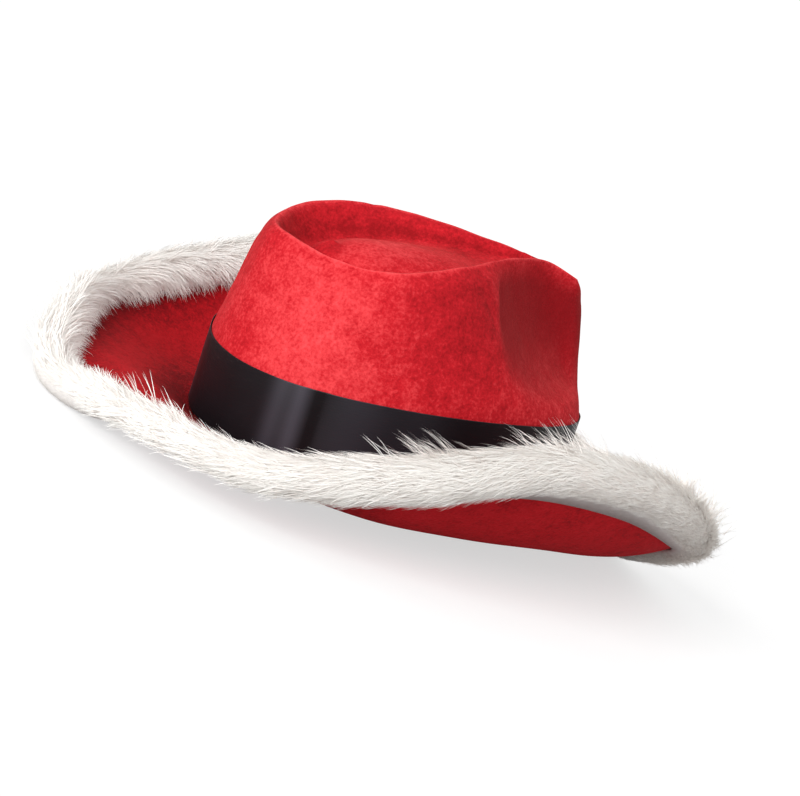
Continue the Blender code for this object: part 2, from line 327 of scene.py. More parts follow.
# Guard hairs that stand clear of the pile: their length, how far they rise, between which angles
# of the roll they stand, the most locks of them on a square metre, and where they stand
# thickest: bearing and half width in degrees, share
WISP_LENGTH = 0.021
WISP_RISE = 0.62
WISP_ANGLES = (-0.1, 2.0)
WISP_DENSITY = 72000
WISP_PLACES = (
    (-109.0, 4.0, 1.0),
    (-87.0, 3.5, 1.0),
    (-81.0, 3.0, 0.6),
    (-150.0, 12.0, 0.08),
    (-54.0, 7.0, 0.4),
    (-42.0, 7.0, 0.6),
    (0.0, 9.0, 0.4),
    (60.0, 30.0, 0.15),
    (140.0, 40.0, 0.25),
)

# The camera: its angles as seen in the photograph, in degrees, its distance to the hat's own
# origin, and how far the picture's centre lies to the right of that origin and above it
VIEW_BEARING = -31.0
VIEW_HEIGHT = 13.97
VIEW_ROLL = 24.36
VIEW_DISTANCE = 1.4
VIEW_RIGHT = 0.01803
VIEW_UP = 0.03817
VIEW_LENS = 118.4

# The light: the sky's strength, how bright the floor is to the hat and to the camera and how far
# it reaches, and where each sun stands, how wide it is in degrees and how strong
SKY_LIGHT = 0.55
FLOOR_BOUNCE = 0.02
FLOOR_GLOW = 0.6
FLOOR_REACH = 90.0
SUNS = (
    ("key", (-0.88, -0.42, 0.38), 40, 3.1),
    ("front_fill", (0.45, -0.8, 0.5), 80, 0.45),
)


def linear(code):
    """A colour written as sRGB hex, as the linear values that a shader takes."""
    values = [int(code[i : i + 2], 16) / 255 for i in (1, 3, 5)]
    return [v / 12.92 if v <= 0.04045 else ((v + 0.055) / 1.055) ** 2.4 for v in values]


def feed(tree, node, inputs):
    """Gives each named input of a node a plain value or another node's output."""
    for name, value in dict(inputs).items():
        if isinstance(value, bpy.types.NodeSocket):
            tree.links.new(value, node.inputs[name])
        else:
            node.inputs[name].default_value = value


def add(tree, kind, inputs=(), **settings):
    """Adds a node with its own settings, and feeds its inputs."""
    made = tree.nodes.new(kind)
    for name, value in settings.items():
        setattr(made, name, value)
    feed(tree, made, inputs)
    return made


def reckoned(tree, operation, *inputs):
    """The output of one sum, whose inputs are plain numbers or other nodes' outputs."""
    return add(tree, "ShaderNodeMath", enumerate(inputs), operation=operation).outputs[0]


def through(knots, values, at):
    """A smooth curve through a table's values, read at the places given."""
    knots, values, at = (np.asarray(a, float) for a in (knots, values, at))
    slopes = np.gradient(values, knots, axis=0)
    i = np.clip(np.searchsorted(knots, at, side="right") - 1, 0, len(knots) - 2)
    step = knots[i + 1] - knots[i]
    s = (at - knots[i]) / step
    return (
        values[i] * (2 * s**3 - 3 * s**2 + 1)
        + slopes[i] * step * (s**3 - 2 * s**2 + s)
        + values[i + 1] * (3 * s**2 - 2 * s**3)
        + slopes[i + 1] * step * (s**3 - s**2)
    )


def round_half(knots, values, at, side=1.0):
    """The same for a table of one half of the hat, which carries on over the middle line."""
    knots, values = np.asarray(knots, float), np.asarray(values, float)
    more_knots = [-knots[:0:-1], knots, 2 * knots[-1] - knots[-2::-1]]
    more_values = [side * values[:0:-1], values, side * values[-2::-1]]
    return through(np.concatenate(more_knots), np.concatenate(more_values), at)


def smooth_step(x):
    """0 up to x = 0, 1 from x = 1, and a soft rise between."""
    x = np.clip(x, 0, 1)
    return x * x * (3 - 2 * x)


def unit(vectors):
    """The same directions, each one long."""
    return vectors / np.linalg.norm(vectors, axis=-1, keepdims=True)


def spread_round(degrees, places):
    """A table's soft spots, added up at each bearing round the hat: place, half width, size."""
    total = np.zeros_like(degrees)
    for place, width, size in places:
        off = (degrees - place + 180) % 360 - 180
        total = total + size * np.exp(-((off / width) ** 2))
    return total


def seam_oval(bearing, off=0.0):
    """The outside of the crown at its seam, moved outwards by off."""
    long = HEAD_LENGTH / 2 + CLOTH + off
    wide = HEAD_WIDTH / 2 + CLOTH + off
    across = wide * np.sin(bearing) * (1 - HEAD_EGG * np.cos(bearing))
    return np.stack([long * np.cos(bearing), across], axis=-1)


def seam_rise(bearing):
    """How much higher the seam runs at the sides than at the front and back."""
    return SEAM_RISE * np.sin(bearing) ** 2


def stations():
    """Share of a half turn and side of each station, round the hat from the front by the left."""
    turn = 2.0 * np.arange(STATIONS) / STATIONS
    return np.where(turn <= 1.0, turn, 2.0 - turn), np.where(turn <= 1.0, 1.0, -1.0)


def crown_places():
    """Each column of the crown's table, read at every station."""
    columns = np.array(CROWN_PLACES).T
    turn, bearing, crest_x, crest_y, crest_z, pinched, sunk, domed, spine = columns
    half, side = stations()
    departure = round_half(turn, bearing - 180.0 * turn, half, -1.0)
    crest = [
        round_half(turn, crest_x, half) * CREST_LENGTH / 2,
        round_half(turn, crest_y, half, -1.0) * CREST_WIDTH / 2 * side,
        round_half(turn, crest_z, half) * CROWN_HEIGHT,
    ]
    return {
        "bearing": np.radians(180.0 * half + departure) * side,
        "crest": np.stack(crest, axis=-1),
        "pinched": round_half(turn, pinched, half),
        "sunk": round_half(turn, sunk, half) * CREASE_DEPTH,
        "domed": round_half(turn, domed, half),
        "spine": round_half(turn, spine, half) * CREST_LENGTH / 2,
    }


def crown_outside():
    """The outside of the crown in its own upright frame: rings of points, seam to crease floor."""
    place = crown_places()
    oval, seam, crest = seam_oval(place["bearing"]), seam_rise(place["bearing"]), place["crest"]
    low = np.linspace(0, 1, BAND_RINGS + 1)[:-1]
    rings = [np.column_stack([oval, seam + BAND_WIDTH * share]) for share in low]
    up, plain, pinched = np.array(CROWN_WALL).T
    for share in WALL_SHARES:
        inward_plain = through(up, plain, share)
        inward_pinched = through(up, pinched, share)
        inward = inward_plain + (inward_pinched - inward_plain) * place["pinched"]
        flat = oval + (crest[:, :2] - oval) * inward[:, None]
        band_top = BAND_WIDTH + seam
        rings.append(np.column_stack([flat, band_top + (crest[:, 2] - band_top) * share]))
    floor = np.column_stack([place["spine"], np.zeros(STATIONS)])
    inward, domed, valley = np.array(CREASE_WALL).T
    for share in CREASE_SHARES:
        at = share * inward[-1]
        flat = crest[:, :2] + (floor - crest[:, :2]) * at
        low = through(inward, valley, at)
        down = low + (through(inward, domed, at) - low) * place["domed"]
        rings.append(np.column_stack([flat, crest[:, 2] - place["sunk"] * down]))
    return np.array(rings)


def grid_normals(grid):
    """Normals of rings of points; the rings are closed, and run outwards or upwards."""
    along = np.roll(grid, -1, axis=1) - np.roll(grid, 1, axis=1)
    across = np.gradient(grid, axis=0)
    return unit(np.cross(along, across))


def grid_faces(rings, first=0, flip=False):
    """Four-sided faces between closed rings whose points are numbered ring after ring."""
    ring, i = np.meshgrid(np.arange(rings - 1), np.arange(STATIONS), indexing="ij")
    j = (i + 1) % STATIONS
    near, far = first + ring * STATIONS, first + (ring + 1) * STATIONS
    faces = np.stack([near + i, near + j, far + j, far + i], axis=-1).reshape(-1, 4)
    return (faces[:, ::-1] if flip else faces).tolist()


def bridge(first, second):
    """Faces between two rings, given the number of each ring's first point."""
    i = np.arange(STATIONS)
    j = (i + 1) % STATIONS
    return np.stack([first + i, first + j, second + j, second + i], axis=-1).tolist()


def close_across(first, flip=False):
    """Faces that close a ring across the hat's middle line."""
    faces = []
    for i in range(STATIONS // 2):
        far, back = (-i - 1) % STATIONS, -i % STATIONS
        corners = list(dict.fromkeys([first + i, first + i + 1, first + far, first + back]))
        faces.append(corners[::-1] if flip else corners)
    return faces


def bumps(points, size, seed):
    """A slow random swell at each point, about size metres from crest to crest."""
    chance = np.random.default_rng(seed)
    total, waves = np.zeros(len(points)), 9
    for _ in range(waves):
        way = unit(chance.normal(size=3)) * 2 * math.pi / size * chance.uniform(0.6, 1.5)
        total += np.sin(points @ way + chance.uniform(0, 2 * math.pi))
    return total / waves * 1.6


def swells(points, table):
    """The bumps of a table, added up at each point: height, size, seed."""
    return sum(height * bumps(points, size, seed) for height, size, seed in table)


def distance_to_line(points, start, end):
    """How far each point lies from the line between two others."""
    start, end = np.array(start), np.array(end)
    along = end - start
    share = np.clip((points - start) @ along / (along @ along), 0, 1)
    return np.linalg.norm(points - start - share[:, None] * along, axis=1)


def put(name, data):
    """A new object in the scene."""
    made = bpy.data.objects.new(name, data)
    bpy.context.scene.collection.objects.link(made)
    return made


def mesh_piece(name, points, faces, material, attributes=()):
    """A finished piece in the row frame, with its faces outwards."""
    mesh = bpy.data.meshes.new(name)
    mesh.from_pydata(points.tolist(), [], faces)
    shape = bmesh.new()
    shape.from_mesh(mesh)
    bmesh.ops.recalc_face_normals(shape, faces=shape.faces)
    shape.to_mesh(mesh)
    shape.free()
    mesh.shade_smooth()
    mesh.materials.append(material)
    for label, values in dict(attributes).items():
        mesh.attributes.new(label, "FLOAT", "POINT").data.foreach_set("value", values)
    made = put(name, mesh)
    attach(made, "root")
    return made


def seat(lift=0.0):
    """Where the crown's own upright frame stands in the hat's."""
    lean = Matrix.Rotation(-CROWN_LEAN, 4, "Y")
    low, high = (Matrix.Translation((0, 0, height)) for height in (SEAM_HEIGHT, lift))
    return np.array(low @ lean @ high)


def stand(points):
    """Points of the crown's own frame, moved into the hat's."""
    place = seat(SEAM_GAP)
    return points @ place[:3, :3].T + place[:3, 3]


def hat_place():
    """Where the hat's own origin lies in the row frame, by where the solid ribbon lies in it."""
    low, high = (np.array(corner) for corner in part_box("hat_band"))
    bearing = crown_places()["bearing"]
    rings = [
        np.column_stack([seam_oval(bearing, SEAM_GAP + BAND_CLOTH), seam_rise(bearing) + height])
        for height in (BAND_LIFT, BAND_WIDTH)
    ]
    band = stand(np.concatenate(rings))
    return (low + high) / 2 - (band.min(axis=0) + band.max(axis=0)) / 2


def slumped(grid):
    """The crown's rings with the crest moved as it has slumped; its wall and crease follow."""
    turn, along, up = np.array(CREST_SLUMP).T
    half, side = stations()
    shift = [through(turn, column, half * side) for column in (along, up)]
    wall, crease = smooth_step(WALL_SHARES) ** 1.5, 1 - smooth_step(CREASE_SHARES / SLUMP_REACH)
    share = np.concatenate([np.zeros(BAND_RINGS), wall, crease])[:, None]
    moved = grid.copy()
    moved[:, :, 0] += share * shift[0]
    moved[:, :, 2] += share * shift[1]
    return moved


def pressed_hollow(points):
    """How far each point lies in the hollow of the pinch, from 0 outside to 1 inside."""
    corner = np.array([HOLLOW_BACK, HOLLOW_FOOT]) + HOLLOW_CORNER
    out = np.minimum(points[:, [0, 2]] - corner, 0)
    inside = HOLLOW_CORNER - np.linalg.norm(out, axis=1)
    low = smooth_step((corner[1] - points[:, 2]) / (0.8 * HOLLOW_CORNER))
    lip = HOLLOW_LIP + (HOLLOW_FOOT_LIP - HOLLOW_LIP) * low
    return smooth_step(inside / lip + 0.5)


def wall_room(grid):
    """How thick the cloth is at each point: its full wall, but thinner where a tight crest or
    nose brings the cloth's other side near, so that its inner face stays inside."""
    points, normals = grid.reshape(-1, 3), grid_normals(grid).reshape(-1, 3)
    cover = BVHTree.FromPolygons(points.tolist(), grid_faces(len(grid)))
    room = np.ones(len(points))
    for number, (spot, way) in enumerate(zip(points - normals * RAY_START, -normals)):
        hit = cover.ray_cast(Vector(spot), Vector(way), 3 * CLOTH)
        if hit[0] is not None:
            room[number] = hit[3] + RAY_START
    room = room.reshape(grid.shape[:2])
    for _ in range(2):
        edged = np.pad(room, ((1, 1), (0, 0)), mode="edge")
        near = [edged[:-2], edged[2:], np.roll(room, 1, axis=1), np.roll(room, -1, axis=1)]
        room = np.minimum.reduce([room, *near])
    return np.minimum(CLOTH, WALL_SHARE * room)


def nap_with_painted_light(points):
    """The crown's nap mottles with light and shade painted on, from 0, deepest, to 1, lightest."""
    nap = CROWN_NAP + swells(points, CROWN_MOTTLES)
    for middle, radius, share in PAINTED_LIGHT_PATCHES:
        away = np.linalg.norm(points - np.array(middle), axis=1) / radius
        nap = nap + share * np.exp(-(away**2))
    return np.clip(nap, 0, 1)


def crown_plush():
    """The crown: two faces of cloth a wall apart, dented and folded as felted plush is."""
    grid = slumped(crown_outside())
    rings = len(grid)
    flat, normals = grid.reshape(-1, 3), grid_normals(grid).reshape(-1, 3)
    below_crest = np.concatenate([np.ones(BAND_RINGS), 1 - WALL_SHARES, np.zeros(CREASE_RINGS)])
    pressed_nap_and_shade = pressed_hollow(flat) * np.repeat(smooth_step(below_crest / HOLLOW_FADE), STATIONS)
    nose = smooth_step((HOLLOW_FRONT - flat[:, 0]) / HOLLOW_FRONT_FADE)
    sink = HOLLOW_DEPTH * pressed_nap_and_shade * nose
    for start, end, width, depth in FOLDS:
        sink = sink + depth * np.exp(-((distance_to_line(flat, start, end) / width) ** 2))
    free = smooth_step((flat[:, 2] - BAND_WIDTH - SWELL_FROM) / SWELL_FADE)
    sink = sink - free * swells(flat, CROWN_SWELLS)
    outside = flat - normals * sink[:, None]
    shaped = outside.reshape(grid.shape)
    inside = shaped - grid_normals(shaped) * wall_room(shaped)[:, :, None]
    bearing = crown_places()["bearing"]
    inside[0] = np.column_stack([seam_oval(bearing, -CLOTH), seam_rise(bearing)])
    count = len(outside)
    faces = grid_faces(rings) + close_across(count - STATIONS)
    faces += grid_faces(rings, count, flip=True) + close_across(2 * count - STATIONS, flip=True)
    faces += bridge(count, 0)
    points = stand(np.concatenate([outside, inside.reshape(-1, 3)])) + HAT_AT
    # The hollow's deeper red, pressed nap and partly painted shade, is strongest at its top
    foot = smooth_step((PRESSED_FROM - flat[:, 2]) / PRESSED_FADE)
    pressed_nap_and_shade = pressed_nap_and_shade * (PRESSED_SHADE_TOP - PRESSED_SHADE_LOSS * foot)
    # A painted highlight along the crest and painted shade in the valley round the dome
    from_crest = np.arange(rings) - (rings - CREASE_RINGS - 1)
    crest_highlight_and_valley_shade = CREST_PAINTED_HIGHLIGHT * np.exp(-((from_crest / CREST_HIGHLIGHT_HALF) ** 2))
    valley = np.exp(-(((CREASE_SHARES - VALLEY_PLACE) / VALLEY_HALF) ** 2))
    crest_highlight_and_valley_shade[-CREASE_RINGS:] -= VALLEY_SHADE * valley
    nap_and_painted_light = nap_with_painted_light(flat) + np.repeat(crest_highlight_and_valley_shade, STATIONS)
    fields = {
        "pressed_nap_and_shade": np.concatenate([pressed_nap_and_shade, np.zeros(count)]).astype(np.float32),
        "nap_and_painted_light": np.concatenate([nap_and_painted_light, np.full(count, INSIDE_NAP)]).astype(np.float32),
    }
    # The velour's colour carries painted light and shade
    pile = velour("velour_with_painted_light", "#8E0C14", "#C01B25", "#F04C50", "#880D15", 0.3)
    made = mesh_piece("crown_plush", points, faces, pile, fields)
    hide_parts("crown")


def hat_ribbon():
    """The satin ribbon: a flat band stretched round the foot of the crown, a little proud."""
    bearing = crown_places()["bearing"]
    oval, rise = seam_oval(bearing), seam_rise(bearing)
    out = unit(oval)
    folds = spread_round(np.degrees(bearing), RIBBON_FOLDS)
    # Painted sheen: lighter bands in the satin's colour, and a painted dark line at a crease
    painted_sheen = RIBBON_LEAST_SHEEN + spread_round(np.degrees(bearing), RIBBON_PAINTED_SHEENS)
    shares = np.concatenate([[0, 0.012], np.linspace(0.04, 0.96, RIBBON_ROWS - 4), [0.988, 1]])
    rows = []
    for share in shares:
        wave = RIBBON_WAVE * np.sin(bearing * RIBBON_WAVES + 1.0) + folds
        wave = wave + RIBBON_RUCK * np.sin(bearing * RIBBON_RUCKS + share)
        proud = SEAM_GAP + RIBBON_PROUD - RIBBON_HUG * share + wave * (1 - 0.6 * share**4)
        height = BAND_LIFT + (BAND_WIDTH - BAND_LIFT) * share
        rows.append(np.column_stack([oval + out * proud[:, None], rise + height]))
    outside = np.array(rows)
    inside = outside.copy()
    inside[:, :, :2] -= out[None] * RIBBON_CLOTH
    count = RIBBON_ROWS * STATIONS
    points = stand(np.concatenate([outside.reshape(-1, 3), inside.reshape(-1, 3)])) + HAT_AT
    faces = grid_faces(RIBBON_ROWS) + grid_faces(RIBBON_ROWS, count, flip=True)
    faces += bridge(count, 0) + bridge(count - STATIONS, 2 * count - STATIONS)
    length = 2 * math.pi * math.sqrt((HEAD_LENGTH**2 + HEAD_WIDTH**2) / 8)
    around = np.arange(STATIONS) / STATIONS * length
    along = np.tile(around, 2 * RIBBON_ROWS).astype(np.float32)
    up = np.tile(np.repeat(shares * BAND_WIDTH, STATIONS), 2).astype(np.float32)
    fields = {"painted_sheen": np.tile(np.clip(painted_sheen, 0, 1), 2 * RIBBON_ROWS).astype(np.float32)}
    made = mesh_piece("hat_ribbon", points, faces, satin(), fields)
    lay_flat(made, along, up, length)
    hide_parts("hat_band")


def lay_flat(made, along, up, length):
    """Gives a ring of cloth its UV map, in metres along and up it."""
    mesh = made.data
    corners = np.empty(len(mesh.loops), np.int32)
    mesh.loops.foreach_get("vertex_index", corners)
    u, v = along[corners].reshape(-1, 4), up[corners].reshape(-1, 4)
    wraps = (u.max(axis=1) - u.min(axis=1)) > length / 2
    u = np.where(wraps[:, None] & (u < length / 2), u + length, u)
    mesh.uv_layers.new(name="cloth").data.foreach_set(
        "uv", np.stack([u, v], axis=-1).astype(np.float32).ravel()
    )


def brim_lines():
    """The middle of the brim's cloth: its inner margin, its edge and its profile's handles."""
    bearings = crown_places()["bearing"]
    margin = []
    for off in (-CLOTH, CLOTH):
        low = seam_rise(bearings) - CLOTH / 2
        local = np.column_stack([seam_oval(bearings, off), low, np.ones(STATIONS)])
        margin.append((local @ seat().T)[:, :3])
    bearing, reach, height, near, far = np.array(BRIM_PLACES).T
    half, side = stations()
    at = 180.0 * half
    angle = np.radians(at) * side
    radius = round_half(bearing, reach, at) / np.hypot(
        np.cos(angle) / (BRIM_LENGTH / 2), np.sin(angle) / (BRIM_WIDTH / 2)
    )
    edge_height = round_half(bearing, height, at) * SIDE_CURL
    edge = np.column_stack([radius * np.cos(angle), radius * np.sin(angle), edge_height])
    return margin, edge, [round_half(bearing, column, at) * SIDE_CURL for column in (near, far)]


def brim_surface():
    """Rings down the middle of the brim's cloth, the cloth's direction there, and their shares."""
    (inner, root), edge, (near, far) = brim_lines()
    overlap = FUR_OVERLAP / np.linalg.norm(edge - root, axis=1).mean()
    shares = [*np.linspace(0, 1 - overlap, BRIM_RINGS), 1 - overlap / 2, 1.0]
    rings = [inner]
    for share in shares:
        rest = 1 - share
        flat = root[:, :2] + (edge[:, :2] - root[:, :2]) * share
        height = root[:, 2] * rest**3 + edge[:, 2] * share**3
        height = height + 3 * near * rest**2 * share + 3 * far * rest * share**2
        rings.append(np.column_stack([flat, height]))
    grid = np.array(rings)
    normals = grid_normals(grid)
    normals *= np.sign(normals[:, :, 2].mean())
    return grid, normals, np.array([0.0, *shares])


def brim_plush():
    """The brim: one sheet of stiffened plush, curled up at the sides, with a gentle ripple."""
    middle, normals, shares = brim_surface()
    normals = normals.copy()
    normals[:2] = seat()[:3, :3] @ np.array([0.0, 0.0, 1.0])
    loose = smooth_step(shares * 4) * smooth_step((1 - shares) * 5)
    ripple = swells(middle.reshape(-1, 3), BRIM_SWELLS).reshape(middle.shape[:2])
    middle = middle + normals * (ripple * loose[:, None])[:, :, None]
    top = (middle + normals * CLOTH / 2).reshape(-1, 3)
    under = (middle - normals * CLOTH / 2).reshape(-1, 3)
    rings, count = len(middle), len(top)
    faces = grid_faces(rings, flip=True) + grid_faces(rings, count)
    faces += bridge(0, count) + bridge(2 * count - STATIONS, count - STATIONS)
    points = np.concatenate([top, under])
    # Painted shade on the brim's top beside the crown, over the back and at the back's edge
    back = smooth_step(0.5 - 0.9 * np.cos(crown_places()["bearing"] - BRIM_BACK_TURN))[None]
    painted_shade = BRIM_FOOT_SHADE * np.exp(-((shares / BRIM_FOOT_REACH) ** 2))[:, None]
    edge = BRIM_EDGE_SHADE * smooth_step((shares - 0.5) / 0.4)
    painted_shade = painted_shade + back * (edge + BRIM_BACK_SHADE)[:, None]
    nap_and_painted_light = np.concatenate([(BRIM_NAP - painted_shade).ravel(), np.full(count, BRIM_UNDER_NAP)])
    nap_and_painted_light = np.clip(nap_and_painted_light + swells(points, BRIM_MOTTLES), -0.4, 1)
    fields = {
        "pressed_nap_and_shade": np.full(2 * count, BRIM_PRESSED, np.float32),
        "nap_and_painted_light": nap_and_painted_light.astype(np.float32),
    }
    pile = velour("pressed_velour", "#740A12", "#BE1720", "#D4232D", "#A2111A", 0.06)
    made = mesh_piece("brim_plush", points + HAT_AT, faces, pile, fields)
    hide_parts("brim")


def roll_section():
    """The fur strip's backing: the two lips on the brim's cloth, and the roll round its edge."""
    middle, normals, _ = brim_surface()
    start, _, edge = middle[-3:]
    across = normals[-3:]
    outward = unit(edge - start)
    clear = CLOTH / 2 + FUR_GAP
    top, under = middle[-3:] + clear * across, middle[-3:] - clear * across
    for lip in (top, under):
        lip[2] += outward * FUR_GAP
    centre = edge - outward * ROLL_INSET
    angles = np.linspace(-FUR_WRAP, FUR_WRAP, ROLL_ROWS)
    lean = [outward * math.cos(a) + across[2] * math.sin(a) for a in angles]
    thin = spread_round(np.degrees(np.arctan2(centre[:, 1], centre[:, 0])), THIN_PLACES)
    lump = (PILE_RADIUS * (1 + ROLL_LUMPS * bumps(centre, 0.05, 23)) - thin)[:, None]
    roll = np.array([centre + lump * way for way in lean])
    return [*top, *under[::-1]], roll, np.array(lean), angles, outward, across[2]


def pile_fields(roll, lean, angles, outward, across):
    """What each point of the roll says of its fur: the way that it is combed, along the strip and
    on the far side in over the brim; the skin's normal; its length; and how thick wisps stand."""
    along = unit(np.roll(roll, -1, axis=1) - np.roll(roll, 1, axis=1))
    share = (angles / FUR_WRAP)[:, None, None]
    over = -outward * np.sin(angles)[:, None, None] + across * np.cos(angles)[:, None, None]
    flat = roll.reshape(-1, 3)
    before, after = np.roll(along, 3, axis=1), np.roll(along, -3, axis=1)
    reach = np.linalg.norm(np.roll(roll, -3, axis=1) - np.roll(roll, 3, axis=1), axis=-1)
    bend = np.linalg.norm(after - before, axis=-1) / np.maximum(reach, FUR_GAP)
    swirl = bumps(flat, 0.060, 21).reshape(share.shape[0], -1, 1)
    small = bumps(flat, 0.020, 22).reshape(share.shape[0], -1, 1)
    bearing = np.arctan2(roll[:, :, 1], roll[:, :, 0])
    inwards = smooth_step(0.5 + 0.9 * np.sin(bearing - 0.5))[:, :, None]
    top = np.maximum(share, 0)
    lay = over * (COMB_SWIRL * swirl + COMB_RUFFLE * small + top * inwards * COMB_INWARDS)
    lay = lay - along * (1 - COMB_LEAVES * inwards * top) - np.array([0.0, 0.0, COMB_DROOP])
    lay = lay - lean * np.sum(lay * lean, axis=-1, keepdims=True)
    share = share[:, :, 0]
    nap = 1 + NAP_UNEVEN * bumps(flat, 0.02, 31).reshape(bearing.shape)
    nap = nap / (1 + NAP_BEND_LOSS * PILE_LENGTH * bend)
    nap = nap * (1 - NAP_UNDER_LOSS * smooth_step(-share * 1.6))
    nap = nap * (1 - TRODDEN_LOSS * smooth_step((TRODDEN_BELOW - roll[:, :, 2]) / TRODDEN_FADE))
    low, high = WISP_ANGLES
    edge = smooth_step((angles - low) / 0.5) * smooth_step((high - angles) / 0.6)
    return {
        "lay": unit(lay),
        "skin": lean,
        "nap": nap * (0.7 + 0.3 * smooth_step((1 - np.abs(share)) / 0.12)),
        "thick": spread_round(np.degrees(bearing), WISP_PLACES) * edge[:, None],
    }


def strand(chance, steps, width, home):
    """One hair of a lock, a unit long: a narrow blade that rises and then falls over."""
    rise = math.radians(chance.uniform(*STRAND_RISE))
    fall = math.radians(chance.uniform(*STRAND_FALL))
    turn = math.radians(chance.normal(0, STRAND_TURN))
    size = chance.uniform(*STRAND_SIZES)
    root = np.array([*(chance.normal(size=2) * home), -0.03])
    points, sides = [root], []
    for k in range(steps):
        angle = rise + (fall - rise) * (k + 0.5) / steps
        heading = turn * (1 + k / steps)
        flat = math.cos(angle)
        way = np.array([flat * math.sin(heading), flat * math.cos(heading), math.sin(angle)])
        points.append(points[-1] + way * size / steps)
        sides.append(way)
    twist = math.radians(chance.uniform(*STRAND_TWIST))
    up = np.array([0.0, 0.0, 1.0])
    verts = []
    for k in range(steps):
        across = unit(np.cross(sides[k], up))
        lift = np.cross(across, sides[k])
        edge = across * math.cos(twist) + lift * math.sin(twist)
        half = width / 2 * (1 - 0.75 * (k / steps) ** 1.5)
        verts += [points[k] - edge * half, points[k] + edge * half]
    verts.append(points[-1])
    faces = [(2 * k, 2 * k + 1, 2 * k + 3, 2 * k + 2) for k in range(steps - 1)]
    faces.append((2 * steps - 2, 2 * steps - 1, 2 * steps))
    tips = [k / steps for k in range(steps) for _ in (0, 1)] + [1.0]
    return np.array(verts), faces, tips


def lock_shapes(material):
    """A few different locks of hair, a unit long, drawn together towards their tips."""
    group = bpy.data.collections.new("lock_shapes")
    for number in range(LOCK_SHAPES):
        chance = np.random.default_rng(FUR_SEED + number)
        points, faces, tips = [], [], []
        gather = chance.uniform(*LOCK_GATHER)
        for _ in range(STRANDS_PER_LOCK):
            home = LOCK_SPREAD / PILE_LENGTH
            verts, quads, tip = strand(chance, STRAND_STEPS, STRAND_WIDTH / PILE_LENGTH, home)
            pull = np.array(tip)[:, None] * gather
            verts = verts - pull * verts[0] * np.array([1.0, 1.0, 0.0])
            faces += [tuple(i + len(tips) for i in quad) for quad in quads]
            points.append(verts)
            tips += tip
        mesh = bpy.data.meshes.new(f"lock_{number}")
        mesh.from_pydata(np.concatenate(points).tolist(), [], faces)
        mesh.shade_smooth()
        mesh.materials.append(material)
        mesh.attributes.new("tip", "FLOAT", "POINT").data.foreach_set("value", tips)
        group.objects.link(bpy.data.objects.new(f"lock_{number}", mesh))
    return group


def field(tree, name, kind="FLOAT"):
    """What the strip says at each point under a name."""
    made = add(tree, "GeometryNodeInputNamedAttribute", {"Name": name}, data_type=kind)
    return made.outputs["Attribute"]


def fur_tree():
    """Grows locks on a strip: each lock stands on the strip, falls along its lay and is drawn
    from the lock shapes."""
    tree = bpy.data.node_groups.new("long_pile_fur", "GeometryNodeTree")
    numbers = ("Density", "Evenness", "Shortest", "Longest", "Rise")
    kinds = {"Strip": "Geometry", "Lock Shapes": "Collection", **dict.fromkeys(numbers, "Float")}
    for name, kind in {**kinds, "Seed": "Int", "Material": "Material"}.items():
        tree.interface.new_socket(name, in_out="INPUT", socket_type=f"NodeSocket{kind}")
    tree.interface.new_socket("Fur", in_out="OUTPUT", socket_type="NodeSocketGeometry")
    given = add(tree, "NodeGroupInput").outputs
    seed = given["Seed"]
    even = reckoned(tree, "MAXIMUM", field(tree, "thick"), given["Evenness"])
    density = reckoned(tree, "MULTIPLY", even, given["Density"])
    spots = add(
        tree,
        "GeometryNodeDistributePointsOnFaces",
        {"Mesh": given["Strip"], "Density": density, "Seed": seed},
    ).outputs
    shapes = add(
        tree,
        "GeometryNodeCollectionInfo",
        {"Collection": given["Lock Shapes"], "Separate Children": True, "Reset Children": True},
    )
    stray = add(
        tree,
        "FunctionNodeRandomValue",
        {0: (-LOCK_STRAY,) * 3, 1: (LOCK_STRAY,) * 3, "Seed": seed},
        data_type="FLOAT_VECTOR",
    )
    lay = {0: field(tree, "lay", "FLOAT_VECTOR"), 1: stray.outputs[0]}
    bent = add(tree, "ShaderNodeVectorMath", lay, operation="ADD").outputs["Vector"]
    align = "FunctionNodeAlignRotationToVector"
    upright = add(tree, align, {"Vector": spots["Normal"]}, axis="Z").outputs["Rotation"]
    comb = {"Rotation": upright, "Vector": bent}
    combed = add(tree, align, comb, axis="Y", pivot_axis="Z").outputs["Rotation"]
    least, most = (reckoned(tree, "ADD", given["Rise"], by) for by in LOCK_NOD)
    nod = add(tree, "FunctionNodeRandomValue", {2: least, 3: most, "Seed": seed})
    nod_turn = add(tree, "ShaderNodeCombineXYZ", {"X": nod.outputs[1]}).outputs["Vector"]
    nod_by = add(tree, "FunctionNodeEulerToRotation", {"Euler": nod_turn}).outputs["Rotation"]
    turn = {"Rotation": combed, "Rotate By": nod_by}
    turned = add(tree, "FunctionNodeRotateRotation", turn, rotation_space="LOCAL")
    sizes = {2: given["Shortest"], 3: given["Longest"], "Seed": seed}
    size = add(tree, "FunctionNodeRandomValue", sizes).outputs[1]
    placed = add(
        tree,
        "GeometryNodeInstanceOnPoints",
        {
            "Points": spots["Points"],
            "Instance": shapes.outputs[0],
            "Pick Instance": True,
            "Rotation": turned.outputs["Rotation"],
            "Scale": reckoned(tree, "MULTIPLY", field(tree, "nap"), size),
        },
    )
    tone = add(tree, "FunctionNodeRandomValue", {"Seed": seed}).outputs[1]
    toned = add(
        tree,
        "GeometryNodeStoreNamedAttribute",
        {"Geometry": placed.outputs["Instances"], "Name": "tone", "Value": tone},
        domain="INSTANCE",
    ).outputs["Geometry"]
    real = add(tree, "GeometryNodeRealizeInstances", {"Geometry": toned}).outputs["Geometry"]
    coat = {"Geometry": real, "Material": given["Material"]}
    painted = add(tree, "GeometryNodeSetMaterial", coat).outputs["Geometry"]
    add(tree, "NodeGroupOutput", {0: painted})
    return tree


